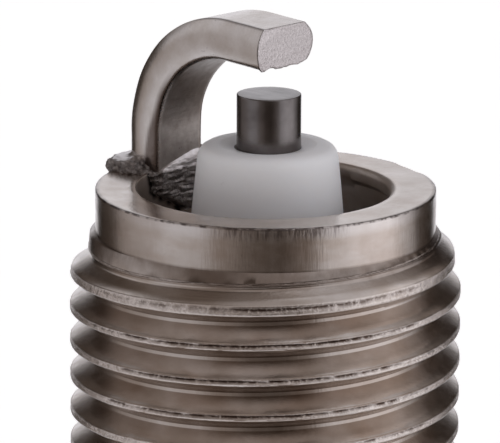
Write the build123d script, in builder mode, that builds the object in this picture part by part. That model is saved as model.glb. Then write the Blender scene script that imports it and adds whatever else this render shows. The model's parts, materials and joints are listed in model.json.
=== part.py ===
from build123d import *
import os
from math import sqrt

# A spark plug with an M14 x 1.25 thread, 19 mm reach and a 20.8 mm hexagon.
# +Z runs along the plug's axis towards the firing end. The origin is the centre of the gasket's
# sealing face, which meets the cylinder head. The ground electrode's foot stands at -X and its tip
# points to +X. Millimetres.

# Thread and shell, firing side
PITCH = 1.25
THREAD_RADIUS = 6.94
THREAD_DEPTH = 0.767
REACH = 19.0
GASKET_HEIGHT = 2.0
SHELL_SEAT_Z = -GASKET_HEIGHT
RIM_Z = SHELL_SEAT_Z + REACH
RIM_RADIUS = 6.02
RIM_EDGE = 0.06
COLLAR_HEIGHT = 1.55
THREAD_SHOULDER = (6.62, RIM_Z - 1.85)
THREAD_FULL_Z = RIM_Z - 2.95
NECK_RADIUS = 6.1
NECK_END_Z = 0.75
GROOVE_START_Z = -1.144
GROOVE_OVERSHOOT = 0.05

# Shell, spanner side
HEX_ACROSS_FLATS = 20.8
HEX_CORNER_RADIUS = 11.75
HEX_BOTTOM_Z = -16.0
HEX_TOP_Z = -7.2
HEX_CHAMFER = 0.9
HEX_FACE_INSET = 0.25
FLANGE_RADIUS = 10.2
FLANGE_HEIGHT = 2.9
FLANGE_CHAMFER = 0.35
BUCKLE_RADIUS = 9.3
LIP_RADIUS = 8.9
LIP_BEND = 1.5
LIP_BOTTOM_Z = -18.5
LIP_MOUTH_RADIUS = 6.35

# Shell, inside
CHAMBER_RADIUS = 4.6
CHAMBER_BOTTOM_Z = 7.0
LEDGE_RADIUS = 3.9
LEDGE_TOP_Z = 6.3
SEAT_CONE_SUM = 9.05  # radius plus height is constant along the shell's 45 degree insulator seat
BODY_BORE_RADIUS = 4.75
SHOULDER_BORE_RADIUS = 7.55
SHOULDER_BORE_TOP_Z = -5.75
LIP_INNER_Z = -17.3

# Insulator
INNER_GASKET_THICKNESS = 0.3
NOSE_TOP_Z = RIM_Z + 1.56
NOSE_SHOULDER = (2.51, RIM_Z + 0.72)
NOSE_CROWN_RADIUS = 1.72
NOSE_DISH_RADIUS = 1.24
NOSE_DISH_DEPTH = 0.11
NOSE_ROOT = (3.59, 5.1)
INSULATOR_SEAT_WIDTH = 0.85
BODY_RADIUS = 4.6
BODY_END_Z = -3.2
SHOULDER_RADIUS = 7.3
SHOULDER_END_Z = -11.4
INSULATOR_NECK_RADIUS = 6.2
RIB_RADIUS = 6.0
RIB_COUNT = 5
RIB_PITCH = 2.4
RIB_START_Z = -20.6
RIB_GROOVE_RADIUS = 1.05
RIB_GROOVE_DEPTH = 0.6
RIB_LEAD = 1.0
BOOT_RADIUS = 5.25
BOOT_SLOPE = 0.6
INSULATOR_END_Z = -42.0
INSULATOR_END_FILLET = 0.7
MAIN_BORE_RADIUS = 2.0
TIP_BORE_RADIUS = 1.18

# Electrodes
ELECTRODE_RADIUS = 1.14
ELECTRODE_TOP_Z = RIM_Z + 3.37
ELECTRODE_EDGE = 0.05
ELECTRODE_SEAT_Z = 3.0
ELECTRODE_HEAD_RADIUS = 1.75
ELECTRODE_HEAD_HEIGHT = 1.4
CORE_RADIUS = 0.65
CORE_TOP_Z = RIM_Z - 1.0
STRAP_THICKNESS = 1.46
STRAP_FLAT_WIDTH = 2.04
STRAP_WIDTH = 2.6
STRAP_OUTER_RADIUS = 5.7
STRAP_RISE = 1.4
STRAP_BEND_RADIUS = 4.62
STRAP_TURN = 93.0
STRAP_TIP = 0.82

# Weld flash round the strap's foot
FLASH_HEIGHT = 0.42
FLASH_WIDTH = 0.42
FLASH_TONGUE_DEPTH = 1.7
FLASH_TONGUE_THICKNESS = 0.5
FLASH_TONGUE_ARCS = (12.0, -26.0)  # towards -Y and towards +Y from the foot's middle

# Parts sealed in the insulator's bore
LOWER_SEAL_END_Z = -1.5
RESISTOR_END_Z = -9.0
UPPER_SEAL_END_Z = -12.4

# Packing under the insulator's seat, and between the shell's lip and the insulator's shoulder
INNER_GASKET_RADII = (3.95, 4.5)
PACKING_CLEARANCE = 0.02
RING_RADIUS = 0.62
RING_CENTRE_RADIUS = 6.9
LOWER_RING_Z = -12.71
UPPER_RING_Z = LIP_INNER_Z + RING_RADIUS + PACKING_CLEARANCE

# Terminal
STUD_RADIUS = 1.85
STUD_FOOT_RADIUS = 1.6
STUD_FOOT_Z = -9.7
STUD_FOOT_CHAMFER = 0.3
KNURL_COUNT = 3
KNURL_PITCH = 0.7
KNURL_DEPTH = 0.15
COLLAR_RADIUS = 2.9
COLLAR_THICKNESS = 1.0
NUT_SEAT_Z = INSULATOR_END_Z - COLLAR_THICKNESS
STUD_THREAD_RADIUS = 2.0
STUD_THREAD_PITCH = 0.7
STUD_THREAD_DEPTH = 0.43
STUD_END_Z = NUT_SEAT_Z - 7.6
NUT_RADIUS = 3.175
NUT_BASE_HEIGHT = 1.6
NUT_WAIST_RADIUS = 2.65
NUT_WAIST_HEIGHT = 1.5
NUT_WAIST_SLOPE = 0.45
NUT_END_Z = SHELL_SEAT_Z - 50.5
NUT_NOSE = 1.1
NUT_BORE_RADIUS = 2.06
NUT_BORE_DEPTH = 8.2
NUT_BORE_CHAMFER = 0.2

# Folded gasket
GASKET_INNER_RADIUS = 6.55
GASKET_OUTER_RADIUS = 10.0
GASKET_FOLD = 0.6
GASKET_SLOT = 0.5
GASKET_SLOT_END = 9.3

os.makedirs("parts", exist_ok=True)


def helical_groove(pitch, crest_radius, depth, start_z):
    """One turn of V groove round the Z axis, cut from a little outside the thread's crest."""
    flat = pitch / 8
    slope = (pitch - 2 * flat) / 2 / depth
    reach = depth + GROOVE_OVERSHOOT
    mouth = flat / 2 + slope * reach
    path = Helix(pitch, pitch, crest_radius - depth, center=(0, 0, start_z))
    with BuildPart() as groove:
        with BuildSketch(Plane(origin=path @ 0, x_dir=(1, 0, 0), z_dir=path % 0)):
            with BuildLine():
                Polyline(
                    (0, -flat / 2),
                    (reach, -mouth),
                    (reach, mouth),
                    (0, flat / 2),
                    close=True,
                )
            make_face()
        sweep(path=path, is_frenet=True)
    return groove.part


# Shell: a hexagon and a turned body, bored, with the thread cut one turn at a time
with BuildPart() as shell:
    with BuildSketch(Plane.XY.offset(HEX_BOTTOM_Z)):
        RegularPolygon(HEX_ACROSS_FLATS / 2, 6, major_radius=False, rotation=30)
    extrude(amount=HEX_TOP_Z - HEX_BOTTOM_Z)
    with BuildSketch(Plane.XZ):
        hex_face_radius = HEX_ACROSS_FLATS / 2 - HEX_FACE_INSET
        with BuildLine():
            Polyline(
                (0, HEX_BOTTOM_Z),
                (hex_face_radius, HEX_BOTTOM_Z),
                (HEX_CORNER_RADIUS, HEX_BOTTOM_Z + HEX_CHAMFER),
                (HEX_CORNER_RADIUS, HEX_TOP_Z - HEX_CHAMFER),
                (hex_face_radius, HEX_TOP_Z),
                (0, HEX_TOP_Z),
                close=True,
            )
        make_face()
    revolve(axis=Axis.Z, mode=Mode.INTERSECT)
    with BuildSketch(Plane.XZ):
        flange_bottom = SHELL_SEAT_Z - FLANGE_HEIGHT
        with BuildLine():
            Polyline(
                (0, RIM_Z),
                (RIM_RADIUS - RIM_EDGE, RIM_Z),
                (RIM_RADIUS, RIM_Z - RIM_EDGE),
                (RIM_RADIUS, RIM_Z - COLLAR_HEIGHT),
                THREAD_SHOULDER,
                (THREAD_RADIUS, THREAD_FULL_Z),
                (THREAD_RADIUS, NECK_END_Z + THREAD_RADIUS - NECK_RADIUS),
                (NECK_RADIUS, NECK_END_Z),
                (NECK_RADIUS, SHELL_SEAT_Z),
                (FLANGE_RADIUS - FLANGE_CHAMFER, SHELL_SEAT_Z),
                (FLANGE_RADIUS, SHELL_SEAT_Z - FLANGE_CHAMFER),
                (FLANGE_RADIUS, flange_bottom),
                (BUCKLE_RADIUS, flange_bottom - FLANGE_CHAMFER),
                (BUCKLE_RADIUS, HEX_TOP_Z),
                (LIP_RADIUS, HEX_BOTTOM_Z),
                (LIP_RADIUS, LIP_BOTTOM_Z + LIP_BEND),
            )
            RadiusArc(
                (LIP_RADIUS, LIP_BOTTOM_Z + LIP_BEND),
                (LIP_RADIUS - LIP_BEND, LIP_BOTTOM_Z),
                LIP_BEND,
            )
            Polyline((LIP_RADIUS - LIP_BEND, LIP_BOTTOM_Z), (0, LIP_BOTTOM_Z), (0, RIM_Z))
        make_face()
    revolve(axis=Axis.Z)
    with BuildSketch(Plane.XZ):
        with BuildLine():
            Polyline(
                (0, RIM_Z),
                (CHAMBER_RADIUS + RIM_EDGE, RIM_Z),
                (CHAMBER_RADIUS, RIM_Z - RIM_EDGE),
                (CHAMBER_RADIUS, CHAMBER_BOTTOM_Z),
                (LEDGE_RADIUS, LEDGE_TOP_Z),
                (LEDGE_RADIUS, SEAT_CONE_SUM - LEDGE_RADIUS),
                (BODY_BORE_RADIUS, SEAT_CONE_SUM - BODY_BORE_RADIUS),
                (BODY_BORE_RADIUS, SHOULDER_BORE_TOP_Z + SHOULDER_BORE_RADIUS - BODY_BORE_RADIUS),
                (SHOULDER_BORE_RADIUS, SHOULDER_BORE_TOP_Z),
                (SHOULDER_BORE_RADIUS, LIP_INNER_Z),
                (LIP_MOUTH_RADIUS, LIP_INNER_Z),
                (LIP_MOUTH_RADIUS, LIP_BOTTOM_Z),
                (0, LIP_BOTTOM_Z),
                close=True,
            )
        make_face()
    revolve(axis=Axis.Z, mode=Mode.SUBTRACT)
    groove_turns = int((RIM_Z - GROOVE_START_Z) / PITCH)
    for turn in range(groove_turns):
        start_z = GROOVE_START_Z + PITCH * turn
        add(helical_groove(PITCH, THREAD_RADIUS, THREAD_DEPTH, start_z), mode=Mode.SUBTRACT)
shell.part.label = "shell"
export_step(shell.part, "parts/shell.step")

# Insulator: ribbed alumina body, bored right through
with BuildPart() as insulator:
    with BuildSketch(Plane.XZ):
        body_top_z = SEAT_CONE_SUM - sqrt(2) * INNER_GASKET_THICKNESS - BODY_RADIUS
        seat_radius = BODY_RADIUS - INSULATOR_SEAT_WIDTH
        dish_z = NOSE_TOP_Z - NOSE_DISH_DEPTH
        shoulder_top_z = BODY_END_Z - (SHOULDER_RADIUS - BODY_RADIUS)
        neck_z = SHOULDER_END_Z - (SHOULDER_RADIUS - INSULATOR_NECK_RADIUS)
        rib_lead_z = RIB_START_Z + RIB_LEAD
        rib_end_z = RIB_START_Z - RIB_COUNT * RIB_PITCH
        crown = (NOSE_CROWN_RADIUS, NOSE_TOP_Z)
        with BuildLine():
            Polyline((0, INSULATOR_END_Z), (0, dish_z), (NOSE_DISH_RADIUS, dish_z), crown)
            TangentArc(crown, NOSE_SHOULDER, tangent=(1, 0))
            Polyline(
                NOSE_SHOULDER,
                NOSE_ROOT,
                (seat_radius, body_top_z + BODY_RADIUS - seat_radius),
                (BODY_RADIUS, body_top_z),
                (BODY_RADIUS, BODY_END_Z),
                (SHOULDER_RADIUS, shoulder_top_z),
                (SHOULDER_RADIUS, SHOULDER_END_Z),
                (INSULATOR_NECK_RADIUS, neck_z),
                (INSULATOR_NECK_RADIUS, rib_lead_z + INSULATOR_NECK_RADIUS - RIB_RADIUS),
                (RIB_RADIUS, rib_lead_z),
                (RIB_RADIUS, rib_end_z),
                (BOOT_RADIUS, rib_end_z - BOOT_SLOPE),
                (BOOT_RADIUS, INSULATOR_END_Z),
                (0, INSULATOR_END_Z),
            )
        make_face()
    revolve(axis=Axis.Z)
    with BuildSketch(Plane.XZ):
        groove_centre = RIB_RADIUS + RIB_GROOVE_RADIUS - RIB_GROOVE_DEPTH
        for rib in range(RIB_COUNT):
            with Locations((groove_centre, RIB_START_Z - (rib + 0.5) * RIB_PITCH)):
                Circle(RIB_GROOVE_RADIUS)
    revolve(axis=Axis.Z, mode=Mode.SUBTRACT)
    end_edge = insulator.edges().filter_by(GeomType.CIRCLE).sort_by(Axis.Z)[0]
    fillet(end_edge, radius=INSULATOR_END_FILLET)
    with BuildSketch(Plane.XZ):
        with BuildLine():
            Polyline(
                (0, NOSE_TOP_Z),
                (TIP_BORE_RADIUS, NOSE_TOP_Z),
                (TIP_BORE_RADIUS, ELECTRODE_SEAT_Z),
                (MAIN_BORE_RADIUS, ELECTRODE_SEAT_Z),
                (MAIN_BORE_RADIUS, INSULATOR_END_Z),
                (0, INSULATOR_END_Z),
                close=True,
            )
        make_face()
    revolve(axis=Axis.Z, mode=Mode.SUBTRACT)
insulator.part.label = "insulator"
export_step(insulator.part, "parts/insulator.step")

# Centre electrode: nickel alloy cup with a flat-cut tip and a head, round a copper core
head_end_z = ELECTRODE_SEAT_Z - ELECTRODE_HEAD_HEIGHT
with BuildPart() as center_electrode:
    with BuildSketch(Plane.XY.offset(head_end_z)):
        Circle(ELECTRODE_RADIUS)
    extrude(amount=ELECTRODE_TOP_Z - head_end_z)
    chamfer(center_electrode.edges().sort_by(Axis.Z)[-1], length=ELECTRODE_EDGE)
    with BuildSketch(Plane.XY.offset(head_end_z)):
        Circle(ELECTRODE_HEAD_RADIUS)
    extrude(amount=ELECTRODE_HEAD_HEIGHT)
    with BuildSketch(Plane.XY.offset(head_end_z)):
        Circle(CORE_RADIUS)
    extrude(amount=CORE_TOP_Z - head_end_z, mode=Mode.SUBTRACT)
center_electrode.part.label = "center_electrode"
export_step(center_electrode.part, "parts/center_electrode.step")

with BuildPart() as center_electrode_core:
    with BuildSketch(Plane.XY.offset(head_end_z)):
        Circle(CORE_RADIUS)
    extrude(amount=CORE_TOP_Z - head_end_z)
center_electrode_core.part.label = "center_electrode_core"
export_step(center_electrode_core.part, "parts/center_electrode_core.step")

# Conductive glass and resistor, fused in the main bore from the electrode's head to the stud's foot
with BuildPart() as lower_glass_seal:
    with BuildSketch(Plane.XY.offset(LOWER_SEAL_END_Z)):
        Circle(MAIN_BORE_RADIUS)
    extrude(amount=ELECTRODE_SEAT_Z - LOWER_SEAL_END_Z)
    with BuildSketch(Plane.XY.offset(head_end_z)):
        Circle(ELECTRODE_HEAD_RADIUS)
    extrude(amount=ELECTRODE_HEAD_HEIGHT, mode=Mode.SUBTRACT)
lower_glass_seal.part.label = "lower_glass_seal"
export_step(lower_glass_seal.part, "parts/lower_glass_seal.step")

with BuildPart() as resistor:
    with BuildSketch(Plane.XY.offset(RESISTOR_END_Z)):
        Circle(MAIN_BORE_RADIUS)
    extrude(amount=LOWER_SEAL_END_Z - RESISTOR_END_Z)
resistor.part.label = "resistor"
export_step(resistor.part, "parts/resistor.step")

# Terminal stud: grooved foot, stem, collar and M4 thread
with BuildPart() as terminal_stud:
    with BuildSketch(Plane.XZ):
        with BuildLine():
            Polyline(
                (0, STUD_FOOT_Z),
                (STUD_FOOT_RADIUS - STUD_FOOT_CHAMFER, STUD_FOOT_Z),
                (STUD_FOOT_RADIUS, STUD_FOOT_Z - STUD_FOOT_CHAMFER),
                (STUD_FOOT_RADIUS, UPPER_SEAL_END_Z),
                (STUD_RADIUS, UPPER_SEAL_END_Z),
                (STUD_RADIUS, INSULATOR_END_Z),
                (COLLAR_RADIUS, INSULATOR_END_Z),
                (COLLAR_RADIUS, NUT_SEAT_Z),
                (STUD_THREAD_RADIUS, NUT_SEAT_Z),
                (STUD_THREAD_RADIUS, STUD_END_Z + STUD_THREAD_DEPTH),
                (STUD_THREAD_RADIUS - STUD_THREAD_DEPTH, STUD_END_Z),
                (0, STUD_END_Z),
                close=True,
            )
        make_face()
    revolve(axis=Axis.Z)
    with BuildSketch(Plane.XZ):
        for ring in range(KNURL_COUNT):
            ring_z = STUD_FOOT_Z - STUD_FOOT_CHAMFER - (ring + 0.5) * KNURL_PITCH
            with BuildLine():
                Polyline(
                    (STUD_FOOT_RADIUS - KNURL_DEPTH, ring_z),
                    (STUD_FOOT_RADIUS + KNURL_DEPTH, ring_z - 2 * KNURL_DEPTH),
                    (STUD_FOOT_RADIUS + KNURL_DEPTH, ring_z + 2 * KNURL_DEPTH),
                    close=True,
                )
            make_face()
    revolve(axis=Axis.Z, mode=Mode.SUBTRACT)
    stud_turns = int((NUT_SEAT_Z - STUD_END_Z) / STUD_THREAD_PITCH)
    for turn in range(stud_turns):
        start_z = STUD_END_Z - STUD_THREAD_PITCH / 2 + STUD_THREAD_PITCH * turn
        groove = helical_groove(STUD_THREAD_PITCH, STUD_THREAD_RADIUS, STUD_THREAD_DEPTH, start_z)
        add(groove, mode=Mode.SUBTRACT)
terminal_stud.part.label = "terminal_stud"
export_step(terminal_stud.part, "parts/terminal_stud.step")

with BuildPart() as upper_glass_seal:
    with BuildSketch(Plane.XY.offset(UPPER_SEAL_END_Z)):
        Circle(MAIN_BORE_RADIUS)
    extrude(amount=RESISTOR_END_Z - UPPER_SEAL_END_Z)
    add(terminal_stud.part, mode=Mode.SUBTRACT)
upper_glass_seal.part.label = "upper_glass_seal"
export_step(upper_glass_seal.part, "parts/upper_glass_seal.step")

# Terminal nut: the post that a plug cap snaps on to, with a blind bore over the stud
with BuildPart() as terminal_nut:
    with BuildSketch(Plane.XZ):
        waist_top_z = NUT_SEAT_Z - NUT_BASE_HEIGHT - NUT_WAIST_SLOPE
        waist_end_z = waist_top_z - NUT_WAIST_HEIGHT
        nose_z = NUT_END_Z + NUT_NOSE
        with BuildLine():
            Polyline(
                (0, NUT_SEAT_Z),
                (NUT_RADIUS, NUT_SEAT_Z),
                (NUT_RADIUS, NUT_SEAT_Z - NUT_BASE_HEIGHT),
                (NUT_WAIST_RADIUS, waist_top_z),
                (NUT_WAIST_RADIUS, waist_end_z),
                (NUT_RADIUS, waist_end_z - NUT_WAIST_SLOPE),
                (NUT_RADIUS, nose_z),
            )
            TangentArc((NUT_RADIUS, nose_z), (NUT_RADIUS - NUT_NOSE, NUT_END_Z), tangent=(0, -1))
            Polyline((NUT_RADIUS - NUT_NOSE, NUT_END_Z), (0, NUT_END_Z), (0, NUT_SEAT_Z))
        make_face()
    revolve(axis=Axis.Z)
    with BuildSketch(Plane.XY.offset(NUT_SEAT_Z)):
        Circle(NUT_BORE_RADIUS)
    extrude(amount=-NUT_BORE_DEPTH, mode=Mode.SUBTRACT)
    mouth_edges = terminal_nut.edges().filter_by(GeomType.CIRCLE).group_by(Axis.Z)[-1]
    chamfer(mouth_edges, length=NUT_BORE_CHAMFER)
terminal_nut.part.label = "terminal_nut"
export_step(terminal_nut.part, "parts/terminal_nut.step")

# Packing: a conical ring under the insulator's seat, and talc pressed between two wire rings
with BuildPart() as inner_gasket:
    with BuildSketch(Plane.XZ):
        inner_radius, outer_radius = INNER_GASKET_RADII
        inner_sum = SEAT_CONE_SUM - sqrt(2) * INNER_GASKET_THICKNESS
        with BuildLine():
            Polyline(
                (inner_radius, SEAT_CONE_SUM - inner_radius),
                (outer_radius, SEAT_CONE_SUM - outer_radius),
                (outer_radius, inner_sum - outer_radius),
                (inner_radius, inner_sum - inner_radius),
                close=True,
            )
        make_face()
    revolve(axis=Axis.Z)
inner_gasket.part.label = "inner_gasket"
export_step(inner_gasket.part, "parts/inner_gasket.step")

with BuildPart() as lower_sealing_ring:
    with BuildSketch(Plane.XZ):
        with Locations((RING_CENTRE_RADIUS, LOWER_RING_Z)):
            Circle(RING_RADIUS)
    revolve(axis=Axis.Z)
lower_sealing_ring.part.label = "lower_sealing_ring"
export_step(lower_sealing_ring.part, "parts/lower_sealing_ring.step")

with BuildPart() as upper_sealing_ring:
    with BuildSketch(Plane.XZ):
        with Locations((RING_CENTRE_RADIUS, UPPER_RING_Z)):
            Circle(RING_RADIUS)
    revolve(axis=Axis.Z)
upper_sealing_ring.part.label = "upper_sealing_ring"
export_step(upper_sealing_ring.part, "parts/upper_sealing_ring.step")

with BuildPart() as talc_packing:
    with BuildSketch(Plane.XY.offset(UPPER_RING_Z)):
        Circle(SHOULDER_BORE_RADIUS - PACKING_CLEARANCE)
        Circle(INSULATOR_NECK_RADIUS + PACKING_CLEARANCE, mode=Mode.SUBTRACT)
    extrude(amount=LOWER_RING_Z - UPPER_RING_Z)
    with BuildSketch(Plane.XZ):
        for ring_z in (LOWER_RING_Z, UPPER_RING_Z):
            with Locations((RING_CENTRE_RADIUS, ring_z)):
                Circle(RING_RADIUS + PACKING_CLEARANCE)
    revolve(axis=Axis.Z, mode=Mode.SUBTRACT)
talc_packing.part.label = "talc_packing"
export_step(talc_packing.part, "parts/talc_packing.step")

# Ground electrode: rolled flat wire, welded upright on the rim and bent over the centre electrode
with BuildPart() as ground_electrode:
    centre_line_x = -STRAP_OUTER_RADIUS + STRAP_THICKNESS / 2
    bend_centre_x = -STRAP_OUTER_RADIUS + STRAP_BEND_RADIUS
    bend_z = RIM_Z + STRAP_RISE
    with BuildLine(Plane.XZ) as strap_path:
        upright = Line((centre_line_x, RIM_Z), (centre_line_x, bend_z))
        bend = CenterArc(
            (bend_centre_x, bend_z),
            STRAP_BEND_RADIUS - STRAP_THICKNESS / 2,
            180,
            -STRAP_TURN,
        )
        top = Line(bend @ 1, bend @ 1 + (bend % 1) * (STRAP_TIP - (bend @ 1).X))
    with BuildSketch(Plane.XY.offset(RIM_Z)) as strap_section:
        half_thickness = STRAP_THICKNESS / 2
        half_flat = STRAP_FLAT_WIDTH / 2
        half_width = STRAP_WIDTH / 2
        with BuildLine():
            for side in (1, -1):
                Line(
                    (centre_line_x + side * half_thickness, -half_flat),
                    (centre_line_x + side * half_thickness, half_flat),
                )
                ThreePointArc(
                    (centre_line_x - half_thickness, side * half_flat),
                    (centre_line_x, side * half_width),
                    (centre_line_x + half_thickness, side * half_flat),
                )
        make_face()
    sweep(path=strap_path.line)
ground_electrode.part.label = "ground_electrode"
export_step(ground_electrode.part, "parts/ground_electrode.step")

# Weld flash: a bead round the strap's foot on the rim, and a tongue pushed down into the bore
with BuildPart() as ground_electrode_weld:
    with BuildSketch(Plane.XY.offset(RIM_Z)):
        with Locations((centre_line_x, 0)):
            Rectangle(STRAP_THICKNESS + 2 * FLASH_WIDTH, STRAP_WIDTH + 2 * FLASH_WIDTH)
        Circle(RIM_RADIUS - RIM_EDGE, mode=Mode.INTERSECT)
    extrude(amount=FLASH_HEIGHT)
    chamfer(ground_electrode_weld.faces().sort_by(Axis.Z)[-1].edges(), length=FLASH_HEIGHT / 2)
    for arc in FLASH_TONGUE_ARCS:
        with BuildSketch(Plane.XZ):
            with Locations((-CHAMBER_RADIUS, RIM_Z)):
                Rectangle(
                    FLASH_TONGUE_THICKNESS,
                    FLASH_TONGUE_DEPTH,
                    align=(Align.MIN, Align.MAX),
                )
        revolve(axis=Axis.Z, revolution_arc=arc)
    add(ground_electrode.part, mode=Mode.SUBTRACT)
ground_electrode_weld.part.label = "ground_electrode_weld"
export_step(ground_electrode_weld.part, "parts/ground_electrode_weld.step")

# Gasket: a steel ring folded round on itself, open towards the thread's neck
with BuildPart() as gasket:
    with BuildSketch(Plane.XZ):
        gasket_width = GASKET_OUTER_RADIUS - GASKET_INNER_RADIUS
        with Locations((GASKET_INNER_RADIUS + gasket_width / 2, -GASKET_HEIGHT / 2)):
            RectangleRounded(gasket_width, GASKET_HEIGHT, GASKET_FOLD)
        slot_width = GASKET_SLOT_END - GASKET_INNER_RADIUS
        with Locations((GASKET_INNER_RADIUS + slot_width / 2, -GASKET_HEIGHT / 2)):
            Rectangle(slot_width, GASKET_SLOT, mode=Mode.SUBTRACT)
    revolve(axis=Axis.Z)
gasket.part.label = "gasket"
export_step(gasket.part, "parts/gasket.step")
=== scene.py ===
"""Looks of an M14 spark plug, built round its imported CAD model.

+Z runs along the plug's axis towards the firing end, and the ground electrode's foot stands at -X.
Shapes are worked out in millimetres, and each mesh is scaled to metres when it is made.
"""

import json
from math import atan, cos, pi, radians, sin, tan

import bmesh
import bpy
import numpy as np
from mathutils import Matrix, Vector, noise

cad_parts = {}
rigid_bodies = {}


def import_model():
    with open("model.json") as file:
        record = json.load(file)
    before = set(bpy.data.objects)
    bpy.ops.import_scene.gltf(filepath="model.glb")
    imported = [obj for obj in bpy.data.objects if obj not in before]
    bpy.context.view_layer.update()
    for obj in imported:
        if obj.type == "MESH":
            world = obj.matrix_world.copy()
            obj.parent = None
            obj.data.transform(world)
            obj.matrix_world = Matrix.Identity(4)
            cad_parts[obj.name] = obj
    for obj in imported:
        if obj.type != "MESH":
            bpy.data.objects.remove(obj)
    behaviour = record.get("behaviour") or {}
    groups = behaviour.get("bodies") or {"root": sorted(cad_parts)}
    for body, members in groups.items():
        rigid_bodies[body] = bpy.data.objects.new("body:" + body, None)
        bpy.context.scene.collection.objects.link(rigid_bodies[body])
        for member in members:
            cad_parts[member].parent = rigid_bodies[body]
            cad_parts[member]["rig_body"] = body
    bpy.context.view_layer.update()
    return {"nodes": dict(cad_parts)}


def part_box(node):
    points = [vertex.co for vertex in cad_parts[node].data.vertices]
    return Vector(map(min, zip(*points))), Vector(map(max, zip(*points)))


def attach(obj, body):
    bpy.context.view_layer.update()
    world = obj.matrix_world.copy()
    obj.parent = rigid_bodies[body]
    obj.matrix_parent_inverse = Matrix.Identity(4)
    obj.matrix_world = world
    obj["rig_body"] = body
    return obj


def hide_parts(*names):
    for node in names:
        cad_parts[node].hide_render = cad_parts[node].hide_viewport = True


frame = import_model()

MM = 0.001
MERGE_DISTANCE = 1e-4
SHARP_ANGLE = radians(42)


def node_box(node):
    """A CAD node's lowest and highest corners, in millimetres."""
    low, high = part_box(node)
    return low / MM, high / MM


# ---- driving sizes, in millimetres

HEX_APOTHEM, HEX_TIP_RADIUS, RIM_Z = node_box("shell")[1]
SHELL_SEAT_Z = node_box("gasket")[0].z
ELECTRODE_TOP_Z = node_box("center_electrode")[1].z
NOSE_TOP_Z = node_box("insulator")[1].z
INSULATOR_END_Z = node_box("insulator")[0].z
NUT_END_Z, NUT_SEAT_Z = (corner.z for corner in node_box("terminal_nut"))
NUT_TRAVEL = 9.0
FLOOR_Z = NUT_END_Z - NUT_TRAVEL - 0.1  # the nut stays above the floor all the way off its stud

PITCH = 1.25
THREAD_RADIUS = 6.94
ROOT_RADIUS = 6.173
THREAD_DEPTH = THREAD_RADIUS - ROOT_RADIUS
CREST_START_Z = -0.519
RIM_RADIUS = 6.02
BORE_RADIUS = 4.6
COLLAR_END_Z = RIM_Z - 1.55
NECK_RADIUS = 6.1
NECK_END_Z = 0.75
COLUMNS = 360

# The thread's envelope, as (height, radius): it fades in at the neck and below the collar.
ENVELOPE = (
    (NECK_END_Z, NECK_RADIUS),
    (NECK_END_Z + 0.84, THREAD_RADIUS),
    (RIM_Z - 3.05, THREAD_RADIUS),
    (RIM_Z - 2.6, 6.76),
    (RIM_Z - 1.95, 6.64),
    (RIM_Z - 1.82, 6.55),
    (RIM_Z - 1.68, 6.3),
    (COLLAR_END_Z, RIM_RADIUS),
)
RUN_OUT_START_Z = RIM_Z - 3.1

# Rows across one pitch of thread. Root rows hold a phase, in pitches from the crest's middle. Crest
# rows hold a place across the crest, whose edges are at -1 and 1, and a depth below it.
ROOT_EDGE = 0.4375
CREST_HALF_WIDTH = 0.095
WIDE_LAND = 0.3
THIN_LAND = 0.08
ROOT_ROWS = (-0.5, -0.452, -0.415)
CREST_ROWS = (
    (-1.24, 0.052), (-1.04, 0.023), (-0.79, 0.006), (-0.5, 0.0), (-0.1, 0.04), (0.3, 0.07),
    (0.62, 0.03), (0.86, 0.008), (1.24, 0.052),
)
SEAM_MIDDLE, SEAM_HALF_WIDTH = 0.25, 0.6
SEAM_OPEN_AT = radians(-46)
SCUFF_AT = radians(-42)
BURR_AT = radians(52)
DENT_AT = radians(73)


# ---- shader helpers


def add(tree, kind, output, inputs=(), **settings):
    """Adds a shader node, gives its inputs values or links, and returns one of its outputs."""
    made = tree.nodes.new(kind)
    for setting, value in settings.items():
        setattr(made, setting, value)
    for socket, value in dict(inputs).items():
        if isinstance(value, bpy.types.NodeSocket):
            tree.links.new(value, made.inputs[socket])
        else:
            made.inputs[socket].default_value = value
    return made.outputs[output]


def ramp(tree, factor, stops, interpolation="LINEAR"):
    """A colour ramp through (position, colour) stops."""
    colour = add(tree, "ShaderNodeValToRGB", "Color", {"Fac": factor})
    elements = colour.node.color_ramp.elements
    colour.node.color_ramp.interpolation = interpolation
    while len(elements) < len(stops):
        elements.new(0.5)
    for element, (position, value) in zip(elements, stops):
        element.position = position
        element.color = (*value, 1)
    return colour


def blend(tree, factor, first, second, blend_type="MIX"):
    """Mixes two colours, each given as a socket or as red, green and blue."""
    pair = [c if isinstance(c, bpy.types.NodeSocket) else (*c, 1) for c in (first, second)]
    inputs = {"Fac": factor, "Color1": pair[0], "Color2": pair[1]}
    return add(tree, "ShaderNodeMixRGB", "Color", inputs, blend_type=blend_type)


def remap(tree, value, low, high, to_low, to_high):
    """Maps a value smoothly from one range to another, and holds it at the ends."""
    inputs = {0: value, 1: low, 2: high, 3: to_low, 4: to_high}
    return add(tree, "ShaderNodeMapRange", 0, inputs, interpolation_type="SMOOTHSTEP")


def maths(tree, operation, first, second):
    return add(tree, "ShaderNodeMath", 0, {0: first, 1: second}, operation=operation)


def times(tree, first, second):
    return maths(tree, "MULTIPLY", first, second)


def object_mm(tree, stretch=(1, 1, 1)):
    """Object coordinates in millimetres, times a stretch along each axis."""
    place = add(tree, "ShaderNodeTexCoord", "Object")
    scale = tuple(s / MM for s in stretch)
    return add(tree, "ShaderNodeMapping", "Vector", {"Vector": place, "Scale": scale})


def speckle(tree, vector, scale, detail=4.0, roughness=0.55):
    """Fractal noise between 0 and 1. The scale is in features to the millimetre."""
    inputs = {"Vector": vector, "Scale": scale, "Detail": detail, "Roughness": roughness}
    return add(tree, "ShaderNodeTexNoise", 0, inputs)


def attribute(tree, label):
    """A value that make_piece stored at each point."""
    return add(tree, "ShaderNodeAttribute", "Fac", attribute_name=label)


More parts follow.
